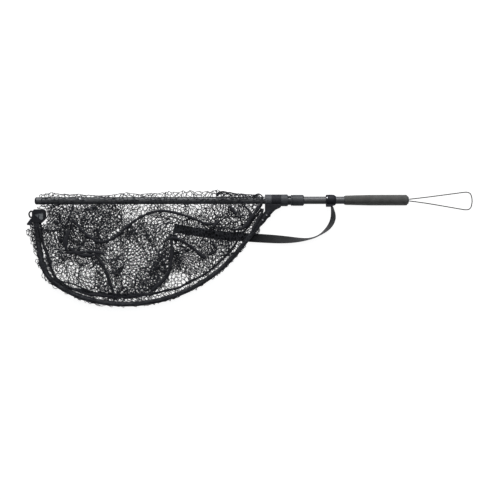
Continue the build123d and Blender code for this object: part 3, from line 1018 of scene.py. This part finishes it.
def rim_hem(name, body, half, seed, material):
    """The bag's rim hem, which runs inside the arm and wanders a little."""
    rng = np.random.default_rng(seed)
    inset = along_hoop(HEM_INSETS)
    if half < 0:
        inset = inset + along_hoop(REAR_HEM_INSETS)
    plan = hoop_line(inset)
    plan = plan + INWARD * HEM_WANDER * ripple(rng, 0.075)(*plan.T)[:, None]
    heights = half * (HEM_Z + HEM_Z_WAVE * ripple(rng, 0.06)(*plan.T))
    line = np.column_stack((plan, heights))
    first = line[0] + HEM_START_REACH
    last = line[-1] + HEM_END_REACH
    points, along = evenly(np.vstack((first, line, last)), HEM_STEP)
    radii = np.interp(along / along[-1], *zip(*HEM_RADII))
    radii = radii * soft_radii(rng, len(points), 1.0, 0.15)
    hem = add_tubes(name, [(points, radii, HEM_FLATNESS)], material)
    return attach(hem, body)


def arm_winding(name, body, half, seed, material):
    """Netting wound tightly round an arm: thread that crosses itself both ways."""
    rng = np.random.default_rng(seed)
    line = np.column_stack((hoop_line(ARM_INSET), np.full(len(HOOP), half * ARM_Z)))
    points, along = evenly(line, WINDING_STEP)
    side, up = frames_along(points)
    starts, ends = [], []
    for strand in range(WINDING_STRANDS):
        for way in (1, -1):
            turn = way * 2 * math.pi * (along / WINDING_PITCH + strand / WINDING_STRANDS)
            turn = (turn + 0.5 * np.sin(along / 0.03 + strand))[:, None]
            radius = ARM_R + WINDING_GAP + WINDING_LAYER * (strand % 2)
            radius = radius + rng.normal(0, WINDING_UNEVEN, turn.shape)
            coil = points + radius * (np.cos(turn) * side + np.sin(turn) * up)
            starts.append(coil[:-1])
            ends.append(coil[1:])
    starts, ends = np.concatenate(starts), np.concatenate(ends)
    winding = add_threads(name, starts, ends, WINDING_THREAD_R, material)
    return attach(winding, body)


def spine_layer(rng, left, right, turn, squeeze, lift):
    """Netting bent round the handle tube's far side, which it hangs out past."""
    half_width = SPINE_WIDTH / 2
    outline = np.array(
        [(left, -half_width), (right, -half_width), (right, half_width), (left, half_width)]
    )
    plan, pairs = spread_netting(outline, turn, squeeze)
    x, across = plan.T + rng.normal(0, SPINE_UNEVEN, plan.T.shape)
    x = x + SPINE_DRAG * ripple(rng, SPINE_WAVE)(x, across)
    angle = (across / half_width).clip(-1, 1) * SPINE_TURN
    change = 1 + SPINE_REACH_CHANGE * ripple(rng, SPINE_REACH_WAVE)(x, across)
    reach = np.interp(x, *zip(*SPINE_REACHES)) * change
    radius = TUBE_CLEAR + lift + reach * np.cos(angle).clip(0, 1) ** SPINE_ROUNDNESS
    points = np.stack((x, radius * np.cos(angle), radius * np.sin(angle)), 1)
    push_out(points)
    points[:, 2] = points[:, 2].clip(-OUTER_HEIGHTS[1], OUTER_HEIGHTS[1])
    kept = (x > left) & (x < right) & (np.abs(across) < half_width)
    return keep_threads(points, pairs, kept)


def spine_netting(material):
    """Netting that passes round the handle tube's far side, from the front half to the rear."""
    rng = np.random.default_rng(31)
    left, right = TUBE_END_X + 0.006, HUB_END_X + 0.008
    layers = [
        spine_layer(rng, left, right, 9, (1.0, 1.0), 0.0002),
        spine_layer(rng, right - GATHERED_LENGTH, right, -24, (0.75, 0.85), 0.0008),
    ]
    spine, area = add_netting("spine_netting", layers, material)
    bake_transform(spine)


# Short loops of the bag's drawcord, in millimetres: a radius, then control points.
SPINE_TIES = (
    (1.8, [(-236, 10, 10), (-229, 19, 8), (-219, 22, 7), (-209, 17, 8), (-198, 11, 11)]),
    (1.5, [(-150, 8, 11), (-142, 13, 9), (-136, 16, 7), (-129, 13, 8), (-125, 8, 11)]),
    (3.6, [(-126, 9, 9), (-127, 2, 14), (-128, -6, 15), (-131, -14, 14), (-134, -20, 13)]),
)


def spine_ties(material):
    """The drawcord's short loops, on the far side of the tube and over it at the hub."""
    rng = np.random.default_rng(41)
    lines = []
    for radius_mm, route in SPINE_TIES:
        points, _ = evenly(smooth_line(in_metres(route)), TIE_STEP)
        lines.append((points, soft_radii(rng, len(points), radius_mm * MM), 1.0))
    ties = add_tubes("spine_ties", lines, material)
    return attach(ties, "hub")


def front_leaves(cover):
    """The front half's leaves: those on top, and the folds under them."""
    fringe = hoop_strip(fringe_inset(), 0.013)
    tip_fringe = hoop_strip(fringe_inset(), 0.012, 0.84)
    outer = [
        leaf(1, 1, cover, 8, (0.88, 0.95), OUTER_HEIGHTS),
        leaf(2, 1, fringe, 15, (0.75, 0.9), OUTER_HEIGHTS, SMALL_DRAG),
        leaf(9, 1, tip_fringe, 30, FRINGE_FOLDED, OUTER_HEIGHTS, FRINGE_DRAG),
    ]
    inner = [
        leaf(3, 1, FRONT_INNER, -14, FOLDED, INNER_HEIGHTS),
        leaf(4, 1, LEFT_WIDE, 35, FOLDED, INNER_HEIGHTS),
        leaf(5, 1, CENTRE, -40, FOLDED, INNER_HEIGHTS),
        leaf(6, 1, RIGHT_WIDE, 20, FOLDED, INNER_HEIGHTS),
        leaf(7, 1, MIDDLE_LOW, 75, FOLDED, INNER_HEIGHTS),
        leaf(8, 1, UPRIGHT_FOLD, 80, FOLDED_NARROW, INNER_HEIGHTS, SMALL_DRAG),
    ]
    return outer, inner


def rear_leaves(cover):
    """The rear half's leaves: the lowest one, and the folds above it."""
    fringe = hoop_strip(fringe_inset(), 0.012)
    beside_arm = hoop_strip(0.009, 0.028, 0.55, 0.86)
    outer = [
        leaf(11, -1, cover, -6, (0.9, 0.94), OUTER_HEIGHTS),
        leaf(18, -1, fringe, 5, FRINGE_FOLDED, OUTER_HEIGHTS, FRINGE_DRAG),
    ]
    inner = [
        leaf(13, -1, REAR_INNER, 24, FOLDED, INNER_HEIGHTS),
        leaf(14, -1, LEFT_NARROW, -20, FOLDED, INNER_HEIGHTS),
        leaf(15, -1, MIDDLE_LOW, 60, FOLDED, INNER_HEIGHTS),
        leaf(16, -1, RIGHT_TOP, -50, FOLDED_MORE, INNER_HEIGHTS),
        leaf(21, -1, RIGHT_LOW, 33, FOLDED_MORE, INNER_HEIGHTS),
        leaf(17, -1, MIDDLE_DARK, 10, (0.70, 0.85), INNER_HEIGHTS),
        leaf(19, -1, UPRIGHT_FOLD, 65, FOLDED_NARROW, INNER_HEIGHTS, SMALL_DRAG),
        leaf(20, -1, beside_arm, 40, (0.75, 0.85), INNER_HEIGHTS, SMALL_DRAG),
    ]
    return outer, inner


def half_of_bag(side, body, half, leaves, yarns, seed, trim):
    """One half of the bag: its netting, its rim hem and the netting wound round its arm."""
    yarn, wound_yarn, binding = yarns
    outer, outer_area = add_netting(side + "_netting", leaves[0], yarn)
    inner, inner_area = add_netting(side + "_folds", leaves[1], yarn)
    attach(outer, body)
    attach(inner, body)
    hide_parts(side + "_net_bundle")
    hem = rim_hem(side + "_rim_hem", body, half, seed, binding)
    wound = arm_winding(side + "_arm_winding", body, half, seed + 1, wound_yarn)


def bag_of_netting():
    yarn = netting_yarn("netting_yarn", (0.019, 0.0200, 0.0255), (0.044, 0.0460, 0.0560))
    wound = netting_yarn("wound_yarn", (0.022, 0.023, 0.029), (0.06, 0.062, 0.07))
    binding = twisted_cord(
        "seam_binding", (0.012, 0.0126, 0.0165), (0.032, 0.0334, 0.041), twist=700, fuzz=0.1
    )
    front = front_leaves(hoop_region(fringe_inset(), FRONT_COVER_TOP))
    rear = rear_leaves(hoop_region(fringe_inset(), REAR_COVER_TOP))
    yarns = (yarn, wound, binding)
    half_of_bag("front", "front_half", 1, front, yarns, 21, [add_seams(binding)])
    half_of_bag("rear", "hub", -1, rear, yarns, 51, [spine_ties(binding)])
    spine_netting(yarn)


# ---- Carry strap and lanyard ----

STRAP_WIDTH = 0.021
STRAP_THICK = 0.0012
STRAP_RIBS = 9
STRAP_STEP = 0.0025
STRAP_ROUTE_MM = [
    (41.0, -15.6, 0.0),
    (44.6, -31.0, -2.4),
    (43.6, -48.0, -4.2),
    (34.6, -64.5, -4.6),
    (18.0, -79.5, -4.4),
    (-3.0, -90.5, -4.3),
    (-30.0, -95.0, -4.5),
    (-68.0, -94.6, -4.2),
    (-110.0, -92.2, -1.6),
    (-150.0, -89.6, 0.0),
    (-215.0, -85.2, 0.0),
    (-280.0, -77.2, 0.0),
    (-338.4, -65.0, 0.0),
]
# The strap's tilt out of level, in degrees, at distances along it from the cuff.
STRAP_TWIST = (
    (0.000, 82),
    (0.019, 58),
    (0.034, 53),
    (0.055, 63),
    (0.080, 85),
    (0.110, 79),
    (0.132, 60),
    (0.154, 41),
    (0.177, 25),
    (0.200, 13),
    (0.235, 3),
    (0.300, 0),
)

LANYARD_R = 0.00125
LANYARD_ROUTE_MM = [
    (224.6, 1.9, 0.0),
    (262.0, 6.0, -4.6),
    (310.0, 12.4, -9.2),
    (350.0, 17.6, -11.5),
    (367.5, 19.8, -11.6),
    (376.0, 15.4, -11.6),
    (379.2, 4.0, -11.6),
    (379.0, -8.5, -11.6),
    (375.6, -19.8, -11.6),
    (367.0, -24.2, -11.6),
    (345.0, -20.4, -11.5),
    (303.0, -13.2, -8.8),
    (262.0, -6.4, -4.6),
    (224.6, -1.9, 0.0),
]


def strap_section():
    """The webbing's section: ribs along both faces and round edges, as (across, up) pairs."""
    steps = 2 * STRAP_RIBS + 1
    across = np.linspace(-0.47, 0.47, steps) * STRAP_WIDTH
    height = STRAP_THICK * np.where(np.arange(steps) % 2, 0.5, 0.36)
    top = np.column_stack((across, height))
    right = [(0.5 * STRAP_WIDTH, 0.0)]
    left = [(-0.5 * STRAP_WIDTH, 0.0)]
    return np.concatenate((left, top, right, top[::-1] * (1, -1)))


def carry_strap():
    points, along = evenly(smooth_line(in_metres(STRAP_ROUTE_MM)), STRAP_STEP)
    side, up = frames_along(points)
    twist = np.radians(np.interp(along, *zip(*STRAP_TWIST)))
    window = np.ones(9) / 9
    twist = np.convolve(np.pad(twist, 4, mode="edge"), window, mode="valid")[:, None]
    width = np.cos(twist) * side + np.sin(twist) * up
    face = np.cos(twist) * up - np.sin(twist) * side
    section = strap_section()
    across, height = section[None, :, :1], section[None, :, 1:]
    vertices = points[:, None] + across * width[:, None] + height * face[:, None]
    count = len(section)
    faces = skin(len(points), count)
    strap = add_mesh("strap_webbing", vertices.reshape(-1, 3), faces, woven_strap("webbing"))
    layer = strap.data.uv_layers.new(name="strap_map")
    for loop in strap.data.loops:
        ring, place = divmod(loop.vertex_index, count)
        layer.data[loop.index].uv = (along[ring], section[place, 0])
    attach(strap, "handle")
    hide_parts("carry_strap")


def hand_lanyard():
    curve = new_curve("lanyard_cord", in_metres(LANYARD_ROUTE_MM))
    curve.data.bevel_depth = LANYARD_R
    curve.data.bevel_resolution = 4
    curve.data.use_fill_caps = True
    braid = twisted_cord(
        "lanyard_braid", (0.035, 0.033, 0.031), (0.12, 0.115, 0.108), twist=1800
    )
    curve.data.materials.append(braid)
    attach(curve, "handle")
    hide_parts("lanyard")


add_camera()
add_world()
add_floor()
add_area_light("key", (-0.2, 1.9, 0.95), (2.6, 1.0), 48)
add_area_light("top", (0.0, 0.8, 2.4), (1.6, 1.2), 9)
carry_strap()
hand_lanyard()
dress_frame()
bag_of_netting()
